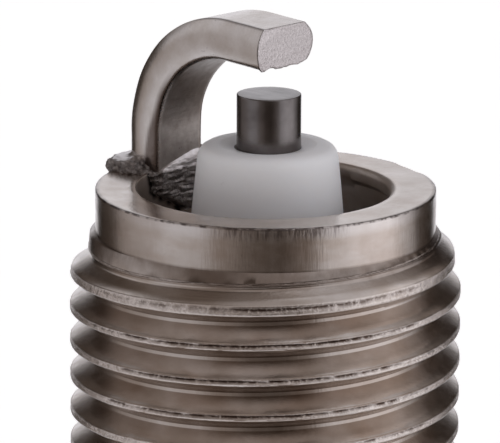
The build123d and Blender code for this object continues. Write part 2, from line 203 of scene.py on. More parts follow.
def new_material(name):
    """A material with a Principled shader on its output, and that shader."""
    material = bpy.data.materials.new(name)
    material.use_nodes = True
    return material, material.node_tree, material.node_tree.nodes["Principled BSDF"]


def wire(tree, shader, **inputs):
    """Links or sets the Principled shader's sockets, given by names with underscores."""
    for label, value in inputs.items():
        socket = shader.inputs[label.replace("_", " ")]
        if isinstance(value, bpy.types.NodeSocket):
            tree.links.new(value, socket)
        else:
            socket.default_value = value


def mark(tree, colour, share, amount, tint):
    """A colour mixed towards a tint by a share times an amount."""
    return blend(tree, times(tree, share, amount), colour, tint)


def bumps(tree, *layers):
    """Bump normals from (height, depth in millimetres) layers, laid one over another."""
    normal = None
    for height, depth in layers:
        inputs = {"Height": height, "Distance": depth * MM, "Strength": 1.0}
        if normal is not None:
            inputs["Normal"] = normal
        normal = add(tree, "ShaderNodeBump", "Normal", inputs)
    return normal


# ---- materials


def metal(name, dark, light, roughness, grain=(1, 1, 1), grain_depth=0.004, speck=0.35):
    """A satin metal: patches of colour, small dark specks, and grain that can be stretched."""
    material, tree, shader = new_material(name)
    place = object_mm(tree)
    patches = speckle(tree, place, 0.9, 6.0)
    colour = ramp(tree, patches, ((0.32, dark), (0.68, light)))
    specks = remap(tree, speckle(tree, place, 9.0, 3.0), 0.24, 0.38, speck, 0.0)
    colour = blend(tree, specks, colour, [c * 0.35 for c in dark])
    lines = speckle(tree, object_mm(tree, grain), 6.0, 3.0)
    satin = remap(tree, lines, 0.3, 0.7, *roughness)
    fine = speckle(tree, place, 22.0, 2.0)
    normal = bumps(tree, (lines, grain_depth), (fine, grain_depth * 0.35))
    wire(tree, shader, Base_Color=colour, Metallic=1.0, Roughness=satin, Normal=normal)
    return material


def shell_metal():
    """Nickel plate over rolled steel: turned collar, smooth flanks and a torn, scaly crest seam."""
    material, tree, shader = new_material("nickel_plated_steel")
    place = object_mm(tree)
    crest, scuff = attribute(tree, "crest"), attribute(tree, "scuff")

    patches = speckle(tree, place, 0.7, 6.0)
    colour = ramp(tree, patches, ((0.3, (0.5, 0.435, 0.385)), (0.7, (0.63, 0.57, 0.53))))
    warm = blend(tree, 0.5, colour, (0.62, 0.47, 0.36), "MULTIPLY")
    tint = speckle(tree, object_mm(tree, (1, 1, 3)), 0.45, 3.0)
    colour = blend(tree, remap(tree, tint, 0.42, 0.66, 0.0, 0.5), colour, warm)
    flecks = speckle(tree, place, 7.0, 5.0, 0.7)
    scale = remap(tree, flecks, 0.34, 0.56, 0.25, 1.0)
    colour = mark(tree, colour, crest, scale, (0.79, 0.71, 0.66))
    crack = times(tree, attribute(tree, "seam"), remap(tree, flecks, 0.46, 0.68, 1.5, 0.2))
    colour = blend(tree, maths(tree, "MINIMUM", crack, 1.0), colour, (0.09, 0.055, 0.04))
    specks = remap(tree, speckle(tree, place, 8.0, 2.0), 0.2, 0.28, 0.5, 0.0)
    colour = blend(tree, specks, colour, (0.12, 0.1, 0.1))
    # Painted shade: the thread's grooves grow darker and browner towards the root.
    colour = mark(tree, colour, attribute(tree, "groove"), 0.2, (0.26, 0.19, 0.15))
    # Painted shade in the corner under the collar, where a concave fillet would lie in shadow.
    fillet_shade_amount = remap(tree, patches, 0.35, 0.6, 0.75, 0.5)
    colour = mark(tree, colour, attribute(tree, "fillet"), fillet_shade_amount, (0.15, 0.11, 0.09))
    # Painted highlight: a lighter band round the top 0.3 mm of the collar.
    colour = mark(tree, colour, attribute(tree, "band"), 0.45, (0.74, 0.69, 0.67))
    strokes = speckle(tree, object_mm(tree, (1, 1, 0.14)), 9.0, 4.0)
    crushed = remap(tree, strokes, 0.38, 0.56, 0.72, 0.2)
    colour = mark(tree, colour, scuff, crushed, (0.13, 0.1, 0.095))
    # Painted shade: a dark, broken line along the rim's outer edge.
    rim_edge_shade = remap(tree, speckle(tree, place, 3.5, 4.0), 0.44, 0.58, 0.95, 0.3)
    colour = mark(tree, colour, attribute(tree, "edge"), rim_edge_shade, (0.07, 0.05, 0.045))
    # Painted shadow: near black on the bore wall beside the weld's tongue.
    colour = blend(tree, attribute(tree, "tongue_shadow"), colour, (0.02, 0.016, 0.014))

    satin = remap(tree, speckle(tree, place, 2.5, 5.0), 0.3, 0.7, 0.16, 0.23)
    satin = maths(tree, "ADD", satin, times(tree, crest, 0.04))
    satin = maths(tree, "ADD", satin, times(tree, attribute(tree, "bore"), 0.25))
    scratches = speckle(tree, object_mm(tree, (1, 1, 0.12)), 11.0, 3.0)
    rings = speckle(tree, object_mm(tree, (0.25, 0.25, 1)), 14.0, 2.0)
    torn = times(tree, flecks, crest)
    gouges = times(tree, strokes, scuff)
    normal = bumps(tree, (scratches, 0.0035), (rings, 0.0018), (torn, 0.035), (gouges, 0.012))
    wire(tree, shader, Base_Color=colour, Metallic=1.0, Roughness=satin, Normal=normal)
    return material


def strap_metal():
    """Rolled nickel wire: satin edges, a duller inner face, and a grainy sheared end."""
    material, tree, shader = new_material("rolled_nickel_wire")
    place = object_mm(tree)
    inner, sheared = attribute(tree, "inner"), attribute(tree, "sheared")
    patches = speckle(tree, place, 0.9, 6.0)
    colour = ramp(tree, patches, ((0.32, (0.55, 0.49, 0.445)), (0.68, (0.67, 0.62, 0.59))))
    dull = speckle(tree, place, 3.0, 5.0, 0.6)
    shade = ramp(tree, dull, ((0.3, (0.34, 0.295, 0.27)), (0.7, (0.5, 0.46, 0.43))))
    colour = mark(tree, colour, inner, 0.85, shade)
    grain = speckle(tree, place, 14.0, 4.0, 0.65)
    torn = ramp(tree, grain, ((0.3, (0.56, 0.51, 0.5)), (0.68, (0.84, 0.78, 0.77))))
    colour = blend(tree, sheared, colour, torn)
    # Heat tint with painted shade on the near bowed side: darker towards the inner face, more low
    # down, and by the outer face.
    colour = mark(tree, colour, attribute(tree, "heat_tint_and_shade"), 0.88, (0.14, 0.105, 0.09))
    # Painted shade: a dark line along the near corner of the outer face, towards the tip.
    colour = blend(tree, attribute(tree, "corner_shade"), colour, (0.08, 0.06, 0.055))
    pits = remap(tree, speckle(tree, place, 6.0, 3.0), 0.22, 0.3, 0.6, 0.0)
    colour = blend(tree, pits, colour, (0.13, 0.11, 0.1))
    lines = speckle(tree, object_mm(tree, (1, 0.3, 1)), 9.0, 3.0)
    satin = remap(tree, lines, 0.3, 0.7, 0.19, 0.27)
    satin = maths(tree, "ADD", satin, times(tree, inner, 0.16))
    satin = maths(tree, "ADD", satin, times(tree, sheared, 0.2))
    rough = times(tree, grain, sheared)
    normal = bumps(tree, (lines, 0.003), (dull, 0.006), (rough, 0.03))
    wire(tree, shader, Base_Color=colour, Metallic=1.0, Roughness=satin, Normal=normal)
    return material


def weld_metal():
    """Upset weld metal: dark and crinkled where heat blackened it, with painted shade low on its
    near side and in the bore; light where it stayed smooth.
    """
    material, tree, shader = new_material("weld_flash_metal")
    place = object_mm(tree)
    burnt = attribute(tree, "burnt")
    crinkle = speckle(tree, place, 5.0, 6.0, 0.65)
    dark = ramp(tree, crinkle, ((0.33, (0.1, 0.085, 0.08)), (0.66, (0.42, 0.38, 0.36))))
    light = ramp(tree, crinkle, ((0.3, (0.5, 0.46, 0.44)), (0.7, (0.66, 0.62, 0.62))))
    # Heat-blackened metal and painted shade: dark low on the bead's near side and on the tongue in
    # the bore.
    colour = blend(tree, burnt, light, dark)
    drag = speckle(tree, object_mm(tree, (1, 1, 6)), 2.2, 4.0)
    rough = remap(tree, burnt, 0.0, 1.0, 0.3, 0.46)
    normal = bumps(tree, (drag, 0.02), (times(tree, crinkle, burnt), 0.09))
    wire(tree, shader, Base_Color=colour, Metallic=1.0, Roughness=rough, Normal=normal)
    return material


def fired_alumina():
    """Matte white ceramic with a little light under its surface and a few specks of dust."""
    material, tree, shader = new_material("alumina_ceramic")
    place = object_mm(tree)
    patches = speckle(tree, place, 0.5, 5.0)
    colour = ramp(tree, patches, ((0.3, (0.87, 0.87, 0.885)), (0.7, (0.91, 0.91, 0.925))))
    dust = remap(tree, speckle(tree, place, 3.5, 4.0), 0.2, 0.3, 0.16, 0.0)
    colour = blend(tree, dust, colour, (0.35, 0.3, 0.28))
    grain = speckle(tree, place, 12.0, 4.0)
    satin = remap(tree, grain, 0.3, 0.7, 0.42, 0.55)
    normal = bumps(tree, (grain, 0.003))
    wire(tree, shader, Base_Color=colour, Roughness=satin, Normal=normal)
    wire(tree, shader, Subsurface_Weight=0.5, Subsurface_Scale=0.9 * MM)
    wire(tree, shader, Subsurface_Radius=(1.0, 0.95, 0.9))
    return material


def mineral(name, dark, light, roughness, scale):
    """A pressed or fused powder: talc, glass seal and resistor body."""
    material, tree, shader = new_material(name)
    place = object_mm(tree)
    grain = speckle(tree, place, scale, 6.0, 0.7)
    colour = ramp(tree, grain, ((0.3, dark), (0.7, light)))
    satin = remap(tree, grain, 0.3, 0.7, roughness - 0.1, roughness + 0.1)
    wire(tree, shader, Base_Color=colour, Roughness=satin, Normal=bumps(tree, (grain, 0.03)))
    return material


def studio_paper(name):
    """The pale sheet under and behind the plug, with a glow of its own that keeps it near white."""
    material, tree, shader = new_material(name)
    fibre = speckle(tree, object_mm(tree), 0.4, 3.0)
    colour = ramp(tree, fibre, ((0.3, (0.9, 0.9, 0.9)), (0.7, (0.94, 0.94, 0.94))))
    wire(tree, shader, Base_Color=colour, Roughness=0.9)
    wire(tree, shader, Emission_Color=(1, 1, 1, 1), Emission_Strength=PAPER_GLOW)
    return material


# ---- mesh helpers


def new_object(name, data):
    """An object in the scene that shows the mesh or camera."""
    made = bpy.data.objects.new(name, data)
    bpy.context.scene.collection.objects.link(made)
    return made


def make_piece(name, vertices, faces, material, **attributes):
    """A smooth mesh object from points in millimetres, with a float attribute for each extra."""
    mesh = bpy.data.meshes.new(name)
    mesh.from_pydata(np.asarray(vertices).tolist(), [], faces)
    for label, values in attributes.items():
        layer = mesh.attributes.new(label, "FLOAT", "POINT")
        layer.data.foreach_set("value", np.asarray(values, np.float32))
    joined = bmesh.new()
    joined.from_mesh(mesh)
    bmesh.ops.remove_doubles(joined, verts=joined.verts, dist=MERGE_DISTANCE)
    bmesh.ops.recalc_face_normals(joined, faces=joined.faces)
    joined.to_mesh(mesh)
    joined.free()
    mesh.transform(Matrix.Scale(MM, 4))
    mesh.shade_smooth()
    mesh.set_sharp_from_angle(angle=SHARP_ANGLE)
    mesh.materials.append(material)
    return new_object(name, mesh)


def stand_for(piece, node):
    """The piece takes the place and the body of a CAD node, which it hides."""
    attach(piece, frame["nodes"][node]["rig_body"])
    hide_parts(node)


def band(ring, beside):
    """Four-cornered faces between two rings with the same number of corners."""
    return zip(ring, ring[1:] + ring[:1], beside[1:] + beside[:1], beside)


def quads(rows, columns, wrap_rows=False):
    """Faces of a grid that closes on itself along its columns, and along its rows if asked."""
    rings = [list(range(row * columns, (row + 1) * columns)) for row in range(rows)]
    after = rings[1:] + rings[:1] if wrap_rows else rings[1:]
    return [face for pair in zip(rings, after) for face in band(*pair)]


def outline(corners, longest, closed=False, arc_steps=4):
    """Points of a lathe outline through (radius, height, fillet) corners, with long runs split."""
    points = []
    count = len(corners)
    for index, (radius, height, fillet) in enumerate(corners):
        corner = Vector((radius, height))
        if fillet == 0:
            points.append(corner)
            continue
        before = (corner - Vector(corners[index - 1][:2])).normalized()
        after = (Vector(corners[(index + 1) % count][:2]) - corner).normalized()
        reach = fillet * tan(before.angle(after) / 2)
        for step in range(arc_steps + 1):
            t = step / arc_steps
            start = corner - before * reach
            end = corner + after * reach
            points.append(start * (1 - t) ** 2 + corner * 2 * t * (1 - t) + end * t**2)
    split = []
    ends = points[1:] + points[:1] if closed else points[1:]
    for start, end in zip(points, ends):
        parts = max(1, round((end - start).length / longest))
        split += [start.lerp(end, part / parts) for part in range(parts)]
    if not closed:
        split.append(points[-1])
    return np.array([tuple(p) for p in split])


def turned(name, corners, material, columns, longest, lean=(0.0, 0.0)):
    """A closed outline turned about Z, which leans sideways by the given amounts at the rim."""
    points = outline(corners, longest, closed=True)
    angles = np.linspace(0, 2 * pi, columns, endpoint=False)
    x = np.outer(points[:, 0], np.cos(angles))
    y = np.outer(points[:, 0], np.sin(angles))
    z = np.repeat(points[:, 1:], columns, axis=1)
    vertices = np.stack([x, y, z], axis=-1).reshape(-1, 3)
    share = np.clip((vertices[:, 2] - LEAN_START_Z) / (RIM_Z - LEAN_START_Z), 0, 1)
    vertices[:, :2] += np.outer(share, lean)
    return make_piece(name, vertices, quads(len(points), columns, wrap_rows=True), material)


def wander(places, spacing, seed):
    """Smooth values between -1 and 1 along places, with a random one every spacing."""
    last = int(np.max(places) / spacing) + 2
    knots = np.random.default_rng(seed).uniform(-1, 1, last + 1)
    return np.interp(places / spacing, np.arange(last + 1), knots)


def ring_wander(angles, count, seed):
    """Smooth values between -1 and 1 round a ring, with count random knots."""
    knots = np.random.default_rng(seed).uniform(-1, 1, count)
    knots = np.append(knots, knots[0])
    return np.interp(angles / (2 * pi) * count, np.arange(count + 1), knots)


def ease(value, start, end):
    """Rises smoothly from 0 to 1 as the value goes from start to end."""
    t = np.clip((value - start) / (end - start), 0, 1)
    return t * t * (3 - 2 * t)


# ---- shell


def envelope(height):
    heights, radii = zip(*ENVELOPE)
    return np.interp(height, heights, radii)


def hexagon(angles, apothem, corner):
    """Radius of a hexagon with rounded corners at 30 degrees and every 60 after it."""
    off_flat = np.abs((angles + pi / 6) % (pi / 3) - pi / 6)
    off_corner = pi / 6 - off_flat
    centre = (apothem - corner) / cos(pi / 6)
    flat = apothem / np.cos(off_flat)
    across = np.clip(corner**2 - (centre * np.sin(off_corner)) ** 2, 0, None)
    rounded = centre * np.cos(off_corner) + np.sqrt(across)
    flat_ends = atan((apothem - corner) * tan(pi / 6) / apothem)
    return np.where(off_flat < flat_ends, flat, rounded)


def thread_rows(angles):
    """Radius, height, crest mask and seam mask of each helical row, which climbs one pitch."""
    turn = angles / (2 * pi)
    last_turn = int((COLLAR_END_Z - CREST_START_Z) / PITCH) + 1
    rows = []
    for count in range(last_turn + 1):
        along = (count + turn) * 2 * pi * THREAD_RADIUS
        middle = CREST_START_Z + PITCH * (count + turn)
        fullness = np.clip((envelope(middle) - ROOT_RADIUS) / THREAD_DEPTH, 0, 1)
        fullness *= 1 - 0.6 * ease(middle, RIM_Z - 1.95, RIM_Z - 1.7)
        half = ROOT_EDGE - fullness * (ROOT_EDGE - CREST_HALF_WIDTH)
        land = THIN_LAND + (WIDE_LAND - THIN_LAND) * ease(fullness, 0.4, 0.62)
        low, high = -half, np.minimum(half, land - half)
        rows += [root_row(middle, phase) for phase in ROOT_ROWS]
        rows.append(flank_row(middle, (low - ROOT_EDGE) / 2, fullness))
        for place, dip in CREST_ROWS:
            rows.append(crest_row(along, middle, (low, high), fullness, place, dip))
        rows.append(flank_row(middle, (high + ROOT_EDGE) / 2, fullness))
        rows += [root_row(middle, -phase) for phase in reversed(ROOT_ROWS[1:])]
    return rows


def root_row(middle, phase):
    """One row in the groove's root."""
    share = max(0.0, (ROOT_EDGE - abs(phase)) / (ROOT_EDGE - CREST_HALF_WIDTH))
    radius = np.full_like(middle, ROOT_RADIUS + share * THREAD_DEPTH)
    zero = np.zeros_like(middle)
    return radius, middle + phase * PITCH, zero, zero


def flank_row(middle, phase, fullness):
    """The row half way up a flank."""
    radius = ROOT_RADIUS + fullness * THREAD_DEPTH / 2
    zero = np.zeros_like(middle)
    return radius, middle + phase * PITCH, zero, zero


def crest_row(along, middle, land, fullness, place, dip):
    """One row of the crest: two lips with a torn seam between them, where the roll met."""
    low, high = land
    seed = int((place + 2) * 100)
    formed = ease(fullness, 0.5, 0.97)
    in_seam = max(0.0, 1 - abs(place - SEAM_MIDDLE) / SEAM_HALF_WIDTH)
    shift = 0.16 * wander(along, 0.9, 7) + 0.07 * wander(along, 0.25, seed)
    turn = along / THREAD_RADIUS
    opening = 2.4 * (np.cos(turn - SEAM_OPEN_AT) - 0.55) + 0.45 * wander(along, 0.9, 11)
    opening += 0.35 * wander(along, 0.2, 12)
    open_share = ease(opening, 0.0, 1.1)
    rough = 0.005 + 0.007 * (1 - formed)
    on_land = 1 - ease(abs(place), 0.95, 1.2)
    tear = rough * wander(along, 0.16, seed + 1) * on_land
    edge = 0.008 * wander(along, 0.5, seed + 2)
    on_crest = max(-1, min(1, place))
    place_here = on_crest + shift * (1 - abs(on_crest))
    past_edge = (place - on_crest) * CREST_HALF_WIDTH * fullness
    phase = (low + high) / 2 + place_here * (high - low) / 2 + past_edge
    drop = dip * (0.3 + 0.7 * formed) * (1 - in_seam * (1 - open_share))
    radius = ROOT_RADIUS + fullness * THREAD_DEPTH - drop + tear + edge
    crest = on_land * (1 - 0.5 * open_share)
    seam = in_seam * open_share * (0.5 + 0.5 * formed)
    return radius, middle + phase * PITCH, crest, seam


def shell_rings(angles):
    """Turned rows of the shell: down the outside from the neck, up the inside, over the rim."""
    seat_radius, waist = 10.2, 9.35
    hex_top, hex_bottom = -7.2, -16.0
    face_radius, cone_height = 10.15, 0.9
    outside = (
        (NECK_RADIUS, NECK_END_Z, 0),
        (NECK_RADIUS, SHELL_SEAT_Z, 0.15),
        (seat_radius, SHELL_SEAT_Z, 0.35),
        (seat_radius, -4.95, 0.3),
        (waist, -5.2, 0.15),
        (waist - 0.15, -6.1, 0.4),
        (waist, -7.0, 0.15),
        (9.5, hex_top, 0.1),
        (face_radius, hex_top, 0),
    )
    rings = list(outline(outside, 1.3, arc_steps=2))
    corner = (HEX_APOTHEM / cos(pi / 6) - HEX_TIP_RADIUS) / (1 / cos(pi / 6) - 1)
    across = hexagon(angles, HEX_APOTHEM, corner)
    drop = cone_height * (across - face_radius) / (HEX_TIP_RADIUS - face_radius)
    soft = 0.05
    for height, sign in ((hex_top, -1), (hex_bottom, 1)):
        cone = [
            (across - soft * 2, height + sign * (drop - soft)),
            (across - soft * 0.35, height + sign * (drop + soft * 0.4)),
            (across, height + sign * (drop + soft * 3)),
        ]
        rings.extend(cone if sign < 0 else reversed(cone))
    mouth, lip_radius, lip_end = 6.35, 8.9, -18.5
    chamber, throat, ledge = 7.55, 4.75, 3.9
    inside = (
        (face_radius, hex_bottom, 0),
        (lip_radius, hex_bottom, 0.2),
        (lip_radius, lip_end, 1.5),
        (mouth, lip_end, 0.25),
        (mouth, -17.3, 0),
        (chamber, -17.3, 0),
        (chamber, -5.75, 0),
        (throat, -2.95, 0),
        (throat, 4.3, 0),
        (ledge, 5.15, 0),
        (ledge, 6.3, 0),
        (BORE_RADIUS, 7.0, 0),
        *((BORE_RADIUS, RIM_Z - depth, 0) for depth in (1.5, 1.3, 1.1, 0.9, 0.7)),
    )
    rings.extend(outline(inside, 6.0, arc_steps=2))
    rings.extend(rim_rings(angles))
    return rings


def rim_rings(angles):
    """The bore's edge, which is rolled over on the camera's right, the rim and the plain collar."""
    burr = ease(np.cos(angles - BURR_AT), 0.2, 1.0)
    edge_radius = BORE_RADIUS - 0.02 - 0.19 * burr + 0.008 * ring_wander(angles, 90, 3)
    roll = 0.04 + 0.2 * burr
    dent = 0.1 * ease(np.cos(angles - DENT_AT), 0.985, 0.998)
    nicks = 0.006 * ring_wander(angles, 60, 4) + 0.004 * ring_wander(angles, 200, 5)
    outer = RIM_RADIUS - dent + nicks
    level = RIM_Z + 0.006 * ring_wander(angles, 24, 6)
    rings = [(edge_radius, RIM_Z - 0.5)]
    for turn in (0, 0.3, 0.7, 1.0):
        quarter = turn * pi / 2
        rings.append((edge_radius + roll * (1 - cos(quarter)), RIM_Z - roll * (1 - sin(quarter))))
    for share in (0.12, 0.5, 0.88):
        rings.append((edge_radius + roll + (outer - edge_radius - roll) * share, level))
    edge = 0.05
    for turn in (0, 0.5, 1.0):
        quarter = turn * pi / 2
        rings.append((outer - edge * (1 - sin(quarter)), RIM_Z - edge * (1 - cos(quarter))))
    for share in (0.03, 0.12, 0.3, 0.55, 0.8, 0.94):
        wave = 0.006 * ring_wander(angles, 36, int(share * 100)) * sin(share * pi)
        height = RIM_Z - edge + (COLLAR_END_Z - RIM_Z + edge) * share
        fade = dent * (1 - share)
        rings.append((RIM_RADIUS - fade + wave, height))
    rings.append((RIM_RADIUS, COLLAR_END_Z))
    return rings


def shell_masks(vertices):
    """How much of each mark, painted shade or painted highlight every point of the shell carries,
    from 0 to 1.
    """
    x, y, up = vertices.T
    across = np.hypot(x, y)
    around = np.mod(np.arctan2(y, x), 2 * pi)
    bore = ease(-across, -BORE_RADIUS - 0.02, -BORE_RADIUS) * ease(up, 5.0, 6.0)
    beside_weld = np.abs(around - tongue_edge(RIM_Z - up) + radians(0.5))
    outside = ease(across, RIM_RADIUS - 0.07, RIM_RADIUS - 0.03)
    # Where the painted highlight lies: the collar's top 0.3 mm.
    band = outside * ease(up, RIM_Z - 0.38, RIM_Z - 0.28)
    on_thread = ease(across, RIM_RADIUS - 0.1, RIM_RADIUS)
    groove = ease(-across, -6.75, -6.2) * ease(-up, 0.6 - RIM_Z, 1.75 - RIM_Z)
    below_collar = ease(-up, -COLLAR_END_Z - 0.08, -COLLAR_END_Z)
    return {
        "bore": bore,
        # painted shadow on the bore wall beside the weld's tongue
        "tongue_shadow": bore * ease(-beside_weld, -radians(3.5), -radians(1)),
        # painted shade along the rim's outer edge
        "edge": outside * ease(up, RIM_Z - 0.08, RIM_Z - 0.04),
        "band": band,
        "scuff": band * ease(np.cos(around - SCUFF_AT), 0.9, 0.97),
        # painted shade deep in the thread's grooves
        "groove": groove * on_thread,
        # painted shade in the corner under the collar
        "fillet": below_collar * ease(up, RIM_Z - 2.2, RIM_Z - 1.9) * on_thread,
    }


def make_shell(material):
    """One watertight mesh: the turned rings, closed by a strip of thread that winds up between."""
    angles = np.linspace(0, 2 * pi, COLUMNS, endpoint=False)
    plain = np.zeros(COLUMNS)
    rings = [(r + plain, z + plain, plain, plain) for r, z in shell_rings(angles)]
    rows = rings + thread_rows(angles)
    radius, height, crest, seam = (np.array(values) for values in zip(*rows))
    first = len(rings)
    radius[first:] = np.minimum(radius[first:], envelope(height[first:]))

    index = np.arange(radius.size).reshape(radius.shape)
    bottom_ring, top_ring = index[0], index[first - 1]
    strip = np.where(height[first:] <= NECK_END_Z, bottom_ring, index[first:])
    strip = np.where(height[first:] >= COLLAR_END_Z, top_ring, strip)
    rows_a_turn = len(ROOT_ROWS) * 2 + 1 + len(CREST_ROWS)
    next_turn = np.append(strip[rows_a_turn:, 0], np.full(rows_a_turn, top_ring[0]))
    beside = np.column_stack([strip[:, 1:], next_turn])
    faces = quads(first, COLUMNS)
    for row in range(len(strip) - 1):
        for column in range(COLUMNS):
            left, right = strip[row:row + 2, column], beside[row:row + 2, column]
            unique = tuple(dict.fromkeys((left[0], right[0], right[1], left[1])))
            if len(unique) > 2:
                faces.append(unique)

    x, y = radius * np.cos(angles), radius * np.sin(angles)
    vertices = np.stack([x, y, height], axis=-1).reshape(-1, 3)
    used = np.zeros(len(vertices), bool)
    used[np.concatenate(faces)] = True
    renumber = np.cumsum(used) - 1
    faces = [tuple(int(renumber[i]) for i in face) for face in faces]
    masks = shell_masks(vertices[used])
    masks["crest"] = crest.ravel()[used]
    masks["seam"] = seam.ravel()[used]
    shell = make_piece("threaded_shell", vertices[used], faces, material, **masks)
    shade_run_out(shell, RUN_OUT_START_Z, COLLAR_END_Z)
    return shell


def shade_run_out(piece, low, high):
    """Smooth edges where the thread runs out, between two heights, and sharp ones at the upper."""
    mesh = piece.data
    tolerance = 0.002
    points = np.empty(len(mesh.vertices) * 3)
    mesh.vertices.foreach_get("co", points)
    height = points[2::3] / MM
    ends = np.empty(len(mesh.edges) * 2, int)
    mesh.edges.foreach_get("vertices", ends)
    run_out = (height > low) & (height < high - tolerance)
    at_collar = np.abs(height - high) <= tolerance
    sharp = np.empty(len(mesh.edges), bool)
    mesh.edges.foreach_get("use_edge_sharp", sharp)
    sharp &= ~run_out[ends].reshape(-1, 2).all(axis=1)
    sharp |= at_collar[ends].reshape(-1, 2).all(axis=1)
    mesh.edges.foreach_set("use_edge_sharp", sharp)


# ---- ground electrode and weld

STRAP_THICKNESS = 1.46
STRAP_FLAT = 2.04
STRAP_WIDTH = 2.56
TIP_UPSET = 0.2
TIP_CREASE = 0.05
STRAP_OUTER_X = node_box("ground_electrode")[0].x
STRAP_RISE = 1.4
STRAP_BEND_RADIUS = 4.62
STRAP_TURN = radians(93)
STRAP_TIP_X = 0.82
FOOT_X = -5.0

# Rings of the bead round the strap's foot, as (share of the way out, height over the rim).
FLASH_PROFILE = (
    (-0.4, 1.9), (-0.12, 1.55), (0.06, 1.2), (0.25, 1.04), (0.5, 1.0), (0.75, 0.88),
    (0.92, 0.6), (1.0, 0.2), (0.98, -0.15), (0.88, -0.8),
)
FLASH_INNER, FLASH_OUTER = 0.86, 1.56
FLASH_NEAR, FLASH_FAR = 2.17, 2.0
TONGUE_DEPTH = 1.66
TONGUE_FACE_RADIUS = 4.2
TONGUE_FAR, TONGUE_NEAR = radians(164), radians(199.5)
VOXEL = 0.045


def strap_centre_line():
    """Points (x, z) and headings along the strap, from its foot over the bend to the tip."""
    centre_x = STRAP_OUTER_X + STRAP_THICKNESS / 2
    bend_x = STRAP_OUTER_X + STRAP_BEND_RADIUS
    bend_radius = STRAP_BEND_RADIUS - STRAP_THICKNESS / 2
    line = [(centre_x, RIM_Z + STRAP_RISE * share, 0.0) for share in np.linspace(0, 1, 8)]
    for turn in np.linspace(0, STRAP_TURN, 60)[1:]:
        x = bend_x - bend_radius * cos(turn)
        z = RIM_Z + STRAP_RISE + bend_radius * sin(turn)
        line.append((x, z, turn))
    x, z, turn = line[-1]
    run = (STRAP_TIP_X - x) / sin(turn)
    for share in (*np.linspace(0, 1, 14)[1:-1], 1 - TIP_CREASE / run, 1):
        line.append((x + run * share * sin(turn), z + run * share * cos(turn), turn))
    return np.array(line)


def strap_section():
    """The wire's section as (outward, sideways) points: two flats and two bowed edges."""
    points_per_side = 16
    half, flat, wide = STRAP_THICKNESS / 2, STRAP_FLAT / 2, STRAP_WIDTH / 2
    section = []
    for side in (1, -1):
        for share in np.linspace(-1, 1, points_per_side):
            section.append((side * half, share * side * flat))
        for share in np.linspace(0, 1, points_per_side + 4)[1:-1]:
            inward = share if side > 0 else 1 - share
            bow = (1 - (1 - 2 * share) ** 2) ** (1.0 - 0.45 * inward)
            section.append((side * half * (1 - 2 * share), side * (flat + (wide - flat) * bow)))
    return np.array(section)


def make_strap(material):
    """The bent wire, whose far side bulges at the sheared tip."""
    line = strap_centre_line()
    section = strap_section()
    half, flat = STRAP_THICKNESS / 2, STRAP_FLAT / 2
    length = np.concatenate([[0], np.cumsum(np.hypot(*np.diff(line[:, :2], axis=0).T))])
    vertices = []
    inner, heat_tint_and_shade, corner_shade = [], [], []
    for (x, z, turn), travelled in zip(line, length):
        outward = np.array((-cos(turn), 0, sin(turn)))
        wave = 0.01 * sin(travelled * 1.7) + 0.006 * sin(travelled * 4.1 + 1)
        bend_squeeze = 0.03 * sin(min(turn, pi))
        upset = TIP_UPSET * ease(travelled, length[-1] - 0.9, length[-1])
        at_tip = ease(travelled, length[-1] - 0.14, length[-1])
        along_edge = 0.85 * ease(travelled, length[-1] - 3.6, length[-1] - 2.6)
        low_down = ease(-z, -RIM_Z - 2.5, -RIM_Z - 0.5)
        upright = 1 - ease(z, RIM_Z + 3.0, RIM_Z + 4.8)
        for out, side in section:
            squeeze = bend_squeeze * (0.5 - out / STRAP_THICKNESS)
            spread = side * (1 + squeeze) + wave * np.sign(side)
            if side > flat:
                spread += upset * (side - flat) / (STRAP_WIDTH / 2 - flat)
            torn = noise.fractal(Vector((side * 2.4, 0, 5)), 0.8, 2.0, 3)
            burr = at_tip * ease(-out, half - 0.1, half) * (0.03 + 0.09 * torn)
            vertices.append(np.array((x, spread, z)) + outward * (out - burr))
            inner.append(ease(-out, half - 0.25, half) * ease(-abs(side), -flat - 0.1, -flat + 0.1))
            # Heat tint with painted shade on the near bowed side, towards the inner face and by the
            # outer face.
            depth = -out / half + 0.42 * low_down
            darkened = np.maximum(ease(depth, 0.58, 0.8), 0.7 * ease(out / half, 0.86, 0.97))
            heat_tint_and_shade.append(darkened * upright * ease(-side, flat, flat + 0.04))
            # Painted shade along the outer face's near corner, over the last few millimetres to the
            # tip.
            near_corner = ease(out, half - 0.03, half) * ease(-side, flat - 0.03, flat)
            corner_shade.append(along_edge * near_corner)
    faces = quads(len(line), len(section))
    sides = len(vertices)
    vertices, faces = cap_strap(vertices, faces, len(section), line)
    caps = len(vertices) - sides
    # The tip's last ring carries the painted shade on its outer and near part.
    corner_shade[-len(section):] = [ease(out - side, -0.6, 0.2) for out, side in section]
    masks = {"inner": inner, "heat_tint_and_shade": heat_tint_and_shade, "corner_shade": corner_shade}
    masks = {label: values + [0.0] * caps for label, values in masks.items()}
    masks["sheared"] = np.arange(len(vertices)) >= sides + caps // 2
    return make_piece("ground_electrode_strap", vertices, faces, material, **masks)


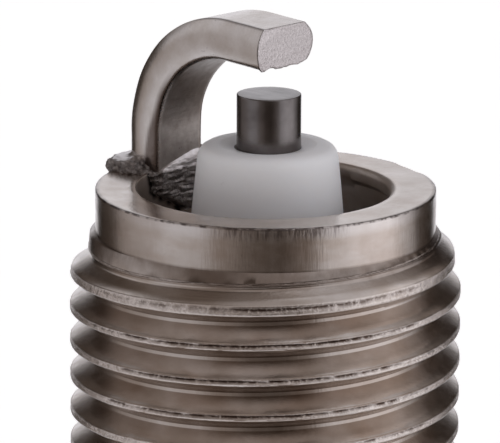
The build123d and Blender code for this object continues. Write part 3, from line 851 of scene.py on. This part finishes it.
def cap_strap(vertices, faces, ring, line):
    """Closes both ends of the strap; the tip is smooth above and torn below, with a bent corner."""
    half = STRAP_THICKNESS / 2
    for end, sign in ((0, -1), (len(line) - 1, 1)):
        x, z, turn = line[end]
        outward = np.array((-cos(turn), 0, sin(turn)))
        ahead = np.array((sin(turn), 0, cos(turn))) * sign
        previous = list(range(end * ring, end * ring + ring))
        rim = [vertices[i] - np.array((x, 0, z)) for i in previous]
        for share in (0.985, 0.95, 0.9, 0.84, 0.77, 0.69, 0.6, 0.5, 0.4, 0.3, 0.2, 0.1, 0.0):
            start = len(vertices)
            for edge in rim:
                out, side = edge @ outward * share, edge[1] * share
                torn = ease(-out, -0.25, 0.2)
                marks = noise.fractal(Vector((side * 1.4, out * 6, 3)), 1.0, 2.0, 3)
                pits = noise.fractal(Vector((side * 5, out * 6, 8)), 1.0, 2.0, 3)
                push = 0.03 * ease(-share, -1.0, -0.94) + 0.006 * marks + 0.012 * torn * pits
                push -= 0.14 * ease(out - side * 0.5, half + 0.05, half + 0.45)
                vertices.append(np.array((x, side, z)) + outward * out + ahead * push)
            current = list(range(start, start + ring))
            faces.extend(band(previous, current))
            previous = current
    return np.array(vertices), faces


def add_solid(target, rows):
    """Adds a closed solid to a bmesh from rows of points, each a ring, with both ends filled."""
    made = [[target.verts.new(point) for point in row] for row in rows]
    for ring, beside in zip(made, made[1:]):
        for corners in band(ring, beside):
            target.faces.new(corners)
    target.faces.new(made[0])
    target.faces.new(made[-1])


def voxel_mesh(source):
    """The source bmesh's solids, in millimetres, merged into one even surface with normals."""
    bmesh.ops.recalc_face_normals(source, faces=source.faces)
    mesh = bpy.data.meshes.new("merge")
    source.to_mesh(mesh)
    source.free()
    shape = new_object("merge", mesh)
    remesh = shape.modifiers.new("merge", "REMESH")
    remesh.mode = "VOXEL"
    remesh.voxel_size = VOXEL
    smooth = shape.modifiers.new("soften", "SMOOTH")
    smooth.factor = 0.5
    smooth.iterations = 4
    bpy.context.view_layer.update()
    evaluated = shape.evaluated_get(bpy.context.evaluated_depsgraph_get())
    merged = bpy.data.meshes.new_from_object(evaluated)
    bpy.data.objects.remove(shape)
    points = np.array([v.co for v in merged.vertices])
    normals = np.array([v.normal for v in merged.vertices])
    faces = [tuple(p.vertices) for p in merged.polygons]
    bpy.data.meshes.remove(merged)
    return points, normals, faces


def super_radius(turn, half_x, half_y, power):
    """Radius of a rounded rectangle, as a superellipse, in one direction."""
    across = abs(cos(turn) / half_x) ** power + abs(sin(turn) / half_y) ** power
    return across ** (-1 / power)


def flash_bead():
    """Rings of the bead round the strap's foot, from inside the strap out and down to the rim."""
    turns = np.linspace(0, 2 * pi, 120, endpoint=False)
    rings = []
    for share, rise in FLASH_PROFILE:
        ring = []
        for turn in turns:
            start = super_radius(turn, STRAP_THICKNESS / 2, STRAP_WIDTH / 2, 5)
            reach = FLASH_INNER if cos(turn) > 0 else FLASH_OUTER
            side_reach = FLASH_NEAR if sin(turn) < 0 else FLASH_FAR
            end = super_radius(turn, reach, side_reach, 3.2)
            radius = start + (end - start) * share
            inner = ease(end * cos(turn), 0.2, 0.75)
            lip = min(0.55, max(0.06, 0.13 + 0.23 * (end * sin(turn) + 0.9)))
            height = 0.4 + (lip - 0.4) * inner
            ring.append((FOOT_X + radius * cos(turn), radius * sin(turn), RIM_Z + rise * height))
        rings.append(ring)
    return rings


def tongue_edge(depth):
    """Angle of the tongue's near edge at a depth below the rim; it slants back as it sinks."""
    return TONGUE_NEAR - radians(4) * depth - radians(16) * ease(depth, 0.7, 1.6)


def flash_tongue():
    """Rings down the tongue that was pushed into the bore."""
    rings = []
    steps = 26
    for depth in np.linspace(0.0, TONGUE_DEPTH, 24):
        ragged = radians(0.8 * sin(depth * 11) + 0.6 * sin(depth * 23))
        low, high = TONGUE_FAR + radians(3) * depth, tongue_edge(depth) + ragged
        angles = np.linspace(low, high, steps)
        rounding = 0.3 * np.abs(np.linspace(-1, 1, steps)) ** 8
        front = TONGUE_FACE_RADIUS + 0.05 * depth + rounding
        radii = np.append(front, np.full(steps, BORE_RADIUS + 0.15))
        ring = zip(radii, np.append(angles, angles[::-1]))
        rings.append([(r * cos(a), r * sin(a), RIM_Z - depth) for r, a in ring])
    return rings


def make_weld(material):
    """Flash squeezed out round the strap's foot, with a tongue pushed down into the bore."""
    solids = bmesh.new()
    add_solid(solids, flash_bead())
    add_solid(solids, flash_tongue())
    points, normals, faces = voxel_mesh(solids)
    x, y, z = points.T
    low = ease(-z, -RIM_Z - 0.48, -RIM_Z - 0.34)
    steep = np.maximum(ease(-normals[:, 2], -0.93, -0.8), ease(x, -5.4, -5.0))
    near = ease(-y, 0.95, 1.1) * low * steep * ease(x, -6.45, -6.2)
    in_bore = ease(-np.hypot(x, y), -BORE_RADIUS, 0.1 - BORE_RADIUS)
    tongue = in_bore * ease(-z, -RIM_Z - 0.08, -RIM_Z + 0.06)
    crinkle = np.array([noise.fractal(Vector(p) * 4.5, 0.8, 2.1, 4) for p in points])
    along = np.arctan2(y, x) * BORE_RADIUS * 1.1
    pulled = np.stack([along, 0 * z, z * 7], axis=-1)
    drag = np.array([noise.fractal(Vector(p), 0.9, 2.0, 4) for p in pulled])
    push = 0.01 * crinkle + near * 0.1 * (crinkle - 0.25) + tongue * 0.05 * drag
    points = points + normals * push[:, None]
    # Heat-blackened metal and painted shade: the bead's lower near faces that don't face up, and
    # the tongue down in the bore.
    burnt = np.clip(near + 0.75 * tongue, 0, 1)
    return make_piece("weld_flash_bead", points, faces, material, burnt=burnt)


# ---- turned pieces

# The nose and the electrode's tip stand a little off the axis, towards the camera's right.
LEAN_START_Z = 5.0
NOSE_LEAN = np.array((0.722, 0.692)) * 0.07
TIP_LEAN = np.array((0.722, 0.692)) * 0.1
BORE_STEP_Z = 3.0  # where the insulator's main bore narrows and the electrode's head sits


def make_insulator(material):
    """Alumina body with its nose, shoulder, five ribs and bores."""
    nose_bore, main_bore = 1.18, 2.0
    seat, flange, neck, ribs, end = 4.6, 7.3, 6.2, 6.0, 5.25
    dish_z = NOSE_TOP_Z - 0.11
    corners = [
        (nose_bore, dish_z, 0.03),
        (1.24, dish_z, 0.05),
        (1.72, NOSE_TOP_Z, 0.4),
        (2.44, NOSE_TOP_Z, 0.52),
        (2.52, RIM_Z + 0.8, 0.4),
        (2.66, RIM_Z - 0.6, 1.0),
        (3.59, 5.1, 0.3),
        (3.75, 4.88, 0.1),
        (seat, 4.02, 0.2),
        (seat, -3.2, 0.4),
        (flange, -5.9, 0.4),
        (flange, -11.4, 0.3),
        (neck, -12.5, 0.3),
        (neck, -19.4, 0.1),
        (ribs, -19.6, 0.1),
    ]
    rib_pitch, rib_start, groove_depth = 2.4, -20.6, 0.6
    for rib in range(5):
        middle = rib_start - (rib + 0.5) * rib_pitch
        corners += [
            (ribs, middle + 0.98, 0.3),
            (ribs - groove_depth, middle + 0.55, 0.5),
            (ribs - groove_depth, middle - 0.55, 0.5),
            (ribs, middle - 0.98, 0.3),
        ]
    corners += [
        (ribs, -32.6, 0.3),
        (end, -33.2, 0.4),
        (end, INSULATOR_END_Z, 0.7),
        (main_bore, INSULATOR_END_Z, 0.2),
        (main_bore, BORE_STEP_Z, 0.1),
        (nose_bore, BORE_STEP_Z, 0.05),
    ]
    return turned("insulator_body", corners, material, 200, 0.5, NOSE_LEAN)


def make_electrode(material):
    """Nickel cup over a copper core, with a flat-cut tip whose edge is slightly broken."""
    core, tip, head = 0.65, 1.14, 1.75
    core_end_z, head_end_z = ELECTRODE_TOP_Z - 4.37, 1.6
    corners = (
        (core, core_end_z, 0),
        (0, core_end_z, 0),
        (0, ELECTRODE_TOP_Z, 0),
        (tip, ELECTRODE_TOP_Z, 0.04),
        (tip, BORE_STEP_Z, 0),
        (head, BORE_STEP_Z, 0.1),
        (head, head_end_z, 0.1),
        (core, head_end_z, 0),
    )
    return turned("center_electrode_tip", corners, material, 128, 0.3, TIP_LEAN)


def make_gasket(material):
    """Folded steel ring: two leaves pressed together, open towards the thread's neck."""
    inner, fold, outer = 6.55, 9.3, 10.0
    height, slot = 2.0, 0.5
    corners = (
        (inner, -height, 0.2),
        (outer, -height, 0.75),
        (outer, 0, 0.75),
        (inner, 0, 0.2),
        (inner, (slot - height) / 2, 0.12),
        (fold, (slot - height) / 2, 0.2),
        (fold, (-slot - height) / 2, 0.2),
        (inner, (-slot - height) / 2, 0.12),
    )
    return turned("folded_gasket", corners, material, 200, 0.5)


def make_nut(material):
    """The terminal post: a base, a waist that the cap's spring clips into, and a rounded nose."""
    bore, waist, post = 2.06, 2.65, 3.175
    bore_depth = 8.2
    corners = (
        (bore, NUT_SEAT_Z, 0.08),
        (post, NUT_SEAT_Z, 0.12),
        (post, NUT_SEAT_Z - 1.6, 0.15),
        (waist, NUT_SEAT_Z - 2.05, 0.2),
        (waist, NUT_SEAT_Z - 3.55, 0.2),
        (post, NUT_SEAT_Z - 4.0, 0.15),
        (post, NUT_END_Z, 1.1),
        (0, NUT_END_Z, 0),
        (0, NUT_SEAT_Z - bore_depth, 0),
        (bore, NUT_SEAT_Z - bore_depth, 0.1),
    )
    return turned("terminal_nut_post", corners, material, 128, 0.4)


# ---- studio

CAMERA_AZIMUTH = radians(43.8)
CAMERA_ELEVATION = radians(14.3)
CAMERA_ROLL = radians(0.25)
CAMERA_DISTANCE = 147.7 * MM
CAMERA_LENS = 301.3
SENSOR_WIDTH = 36.0
AIM_RIGHT, AIM_UP = -0.549 * MM, -1.231 * MM
PAPER_GLOW = 0.62
FLOOR_HALF_WIDTH = 4.0
WALL_RADIUS = 2.0

# Brightness of the studio, by degrees to the right of the camera: level with the plug, above it
# and overhead. Below them all lies the bench.
SIDE_LIGHTS = (
    (-180, 1.0), (-165, 0.95), (-152, 0.03), (-128, 0.07), (-108, 0.36), (-90, 0.47),
    (-68, 0.66), (-48, 0.6), (-30, 0.31), (-8, 0.12), (10, 0.09), (28, 0.22), (46, 0.86),
    (68, 1.1), (92, 1.15), (110, 0.55), (128, 0.07), (150, 0.03), (166, 0.95), (180, 1.0),
)
UPPER_LIGHTS = (
    (-180, 0.9), (-172, 0.7), (-162, 0.04), (-140, 0.1), (-110, 0.7), (-40, 0.3), (0, 0.42),
    (50, 0.9), (100, 1.0), (130, 0.25), (145, 0.04), (165, 0.04), (174, 0.6), (180, 0.9),
)
ZENITH_LIGHTS = ((-180, 0.24), (-90, 0.15), (0, 0.42), (90, 0.72), (145, 0.42), (180, 0.24))
BENCH_LIGHT = 0.7
# The elevations, in degrees, over which each ring of lights takes over from what lies below it.
STUDIO_RINGS = (
    (SIDE_LIGHTS, -42, -20),
    (UPPER_LIGHTS, -2, 18),
    (ZENITH_LIGHTS, 34, 58),
)
WARM_DARK = Vector((1.0, 0.78, 0.64))
COOL_LIGHT = Vector((0.98, 0.98, 1.03))


def light_stops(lights):
    """Colour stops for a ring of lights: dim ones are warm, bright ones slightly cool."""
    stops = []
    for degrees_right, level in lights:
        colour = WARM_DARK.lerp(COOL_LIGHT, min(1, level * 1.6)) * level
        stops.append((degrees_right / 360 + 0.5, tuple(colour)))
    return stops


def make_world():
    """A plain studio of soft lights and dark cards at fixed places round the object."""
    world = bpy.data.worlds.new("studio")
    world.use_nodes = True
    bpy.context.scene.world = world
    tree = world.node_tree
    direction = add(tree, "ShaderNodeTexCoord", "Generated")
    inputs = {"Vector": direction, "Angle": -CAMERA_AZIMUTH}
    turned_world = add(tree, "ShaderNodeVectorRotate", "Vector", inputs, rotation_type="Z_AXIS")
    parts = add(tree, "ShaderNodeSeparateXYZ", "X", {"Vector": turned_world}).node
    right, back, height = parts.outputs["X"], parts.outputs["Y"], parts.outputs["Z"]
    around = maths(tree, "ARCTAN2", right, times(tree, back, -1.0))
    around = maths(tree, "ADD", maths(tree, "DIVIDE", around, 2 * pi), 0.5)
    colour = tuple(COOL_LIGHT * BENCH_LIGHT)
    for lights, start, end in STUDIO_RINGS:
        above = ramp(tree, around, light_stops(lights), "EASE")
        share = remap(tree, height, sin(radians(start)), sin(radians(end)), 0.0, 1.0)
        colour = blend(tree, share, colour, above)
    tree.links.new(colour, tree.nodes["Background"].inputs["Color"])


def paper_sheet(name, vertices, faces, paper):
    """A sheet of the studio that metal doesn't reflect, from points in metres."""
    mesh = bpy.data.meshes.new(name)
    mesh.from_pydata(vertices, [], faces)
    mesh.materials.append(studio_paper(paper))
    sheet = new_object(name, mesh)
    sheet.visible_glossy = False
    return sheet


def make_floor():
    half, z = FLOOR_HALF_WIDTH, FLOOR_Z * MM
    corners = [(-half, -half, z), (half, -half, z), (half, half, z), (-half, half, z)]
    floor = paper_sheet("floor", corners, [(0, 1, 2, 3)], "pale_paper")


def make_backdrop():
    """A tall pale wall that only the camera sees, so it changes no light on the plug."""
    steps = 96
    turns = [2 * pi * step / steps for step in range(steps)]
    vertices = []
    for height in (FLOOR_Z * MM, FLOOR_HALF_WIDTH):
        vertices += [(WALL_RADIUS * cos(turn), WALL_RADIUS * sin(turn), height) for turn in turns]
    wall = paper_sheet("backdrop", vertices, quads(2, steps), "pale_wall")
    wall.visible_diffuse = False
    wall.visible_transmission = False
    wall.visible_shadow = False


def make_camera():
    """A long lens just above the firing end."""
    a, e = CAMERA_AZIMUTH, CAMERA_ELEVATION
    right = Vector((cos(a), sin(a), 0))
    up = Vector((-sin(a) * sin(e), cos(a) * sin(e), cos(e)))
    forward = Vector((-sin(a) * cos(e), cos(a) * cos(e), -sin(e)))
    target = Vector((0, 0, RIM_Z * MM)) + right * AIM_RIGHT + up * AIM_UP
    image_right = right * cos(CAMERA_ROLL) + up * sin(CAMERA_ROLL)
    image_up = up * cos(CAMERA_ROLL) - right * sin(CAMERA_ROLL)
    turn = Matrix((image_right, image_up, -forward)).transposed().to_4x4()
    data = bpy.data.cameras.new("camera")
    data.lens = CAMERA_LENS
    data.sensor_width = SENSOR_WIDTH
    data.clip_start = 0.01
    camera = new_object("camera", data)
    camera.matrix_world = Matrix.Translation(target - forward * CAMERA_DISTANCE) @ turn
    bpy.context.scene.camera = camera


# ---- the plug

electrode_finish = metal(
    "dark_nickel_tip", (0.12, 0.105, 0.1), (0.21, 0.19, 0.185), (0.17, 0.25),
    grain=(0.12, 1, 0.12), grain_depth=0.0025, speck=0.12,
)
gasket_finish = metal("plated_gasket_strip", (0.6, 0.57, 0.53), (0.72, 0.7, 0.67), (0.25, 0.38))
nut_finish = metal(
    "bright_turned_plate", (0.66, 0.65, 0.63), (0.76, 0.75, 0.73), (0.16, 0.26), grain=(0.2, 0.2, 1)
)

stand_for(make_shell(shell_metal()), "shell")
stand_for(make_strap(strap_metal()), "ground_electrode")
stand_for(make_weld(weld_metal()), "ground_electrode_weld")
stand_for(make_insulator(fired_alumina()), "insulator")
stand_for(make_electrode(electrode_finish), "center_electrode")
stand_for(make_gasket(gasket_finish), "gasket")
stand_for(make_nut(nut_finish), "terminal_nut")

# The other nodes stay as the CAD made them, with a finish of their own.
stud_finish = metal("plated_stud_steel", (0.48, 0.47, 0.46), (0.6, 0.59, 0.58), (0.28, 0.4))
packing_finish = metal("plain_packing_steel", (0.42, 0.41, 0.4), (0.54, 0.53, 0.51), (0.3, 0.45))
copper_finish = metal(
    "drawn_copper", (0.7, 0.36, 0.2), (0.82, 0.5, 0.34), (0.25, 0.38), grain=(1, 1, 0.1)
)
seal_finish = mineral("fused_seal_glass", (0.06, 0.06, 0.07), (0.2, 0.19, 0.19), 0.35, 3.0)
resistor_finish = mineral("resistor_glass", (0.08, 0.075, 0.07), (0.26, 0.24, 0.22), 0.55, 4.0)
talc_finish = mineral("pressed_talc", (0.76, 0.75, 0.71), (0.9, 0.89, 0.86), 0.85, 5.0)
kept_finishes = {
    "terminal_stud": stud_finish,
    "center_electrode_core": copper_finish,
    "lower_glass_seal": seal_finish,
    "resistor": resistor_finish,
    "upper_glass_seal": seal_finish,
    "inner_gasket": packing_finish,
    "lower_sealing_ring": packing_finish,
    "upper_sealing_ring": packing_finish,
    "talc_packing": talc_finish,
}
for node, finish in kept_finishes.items():
    for material_slot in frame["nodes"][node].material_slots:
        material_slot.material = finish

make_world()
make_floor()
make_backdrop()
make_camera()
bpy.context.scene.view_settings.view_transform = "Standard"
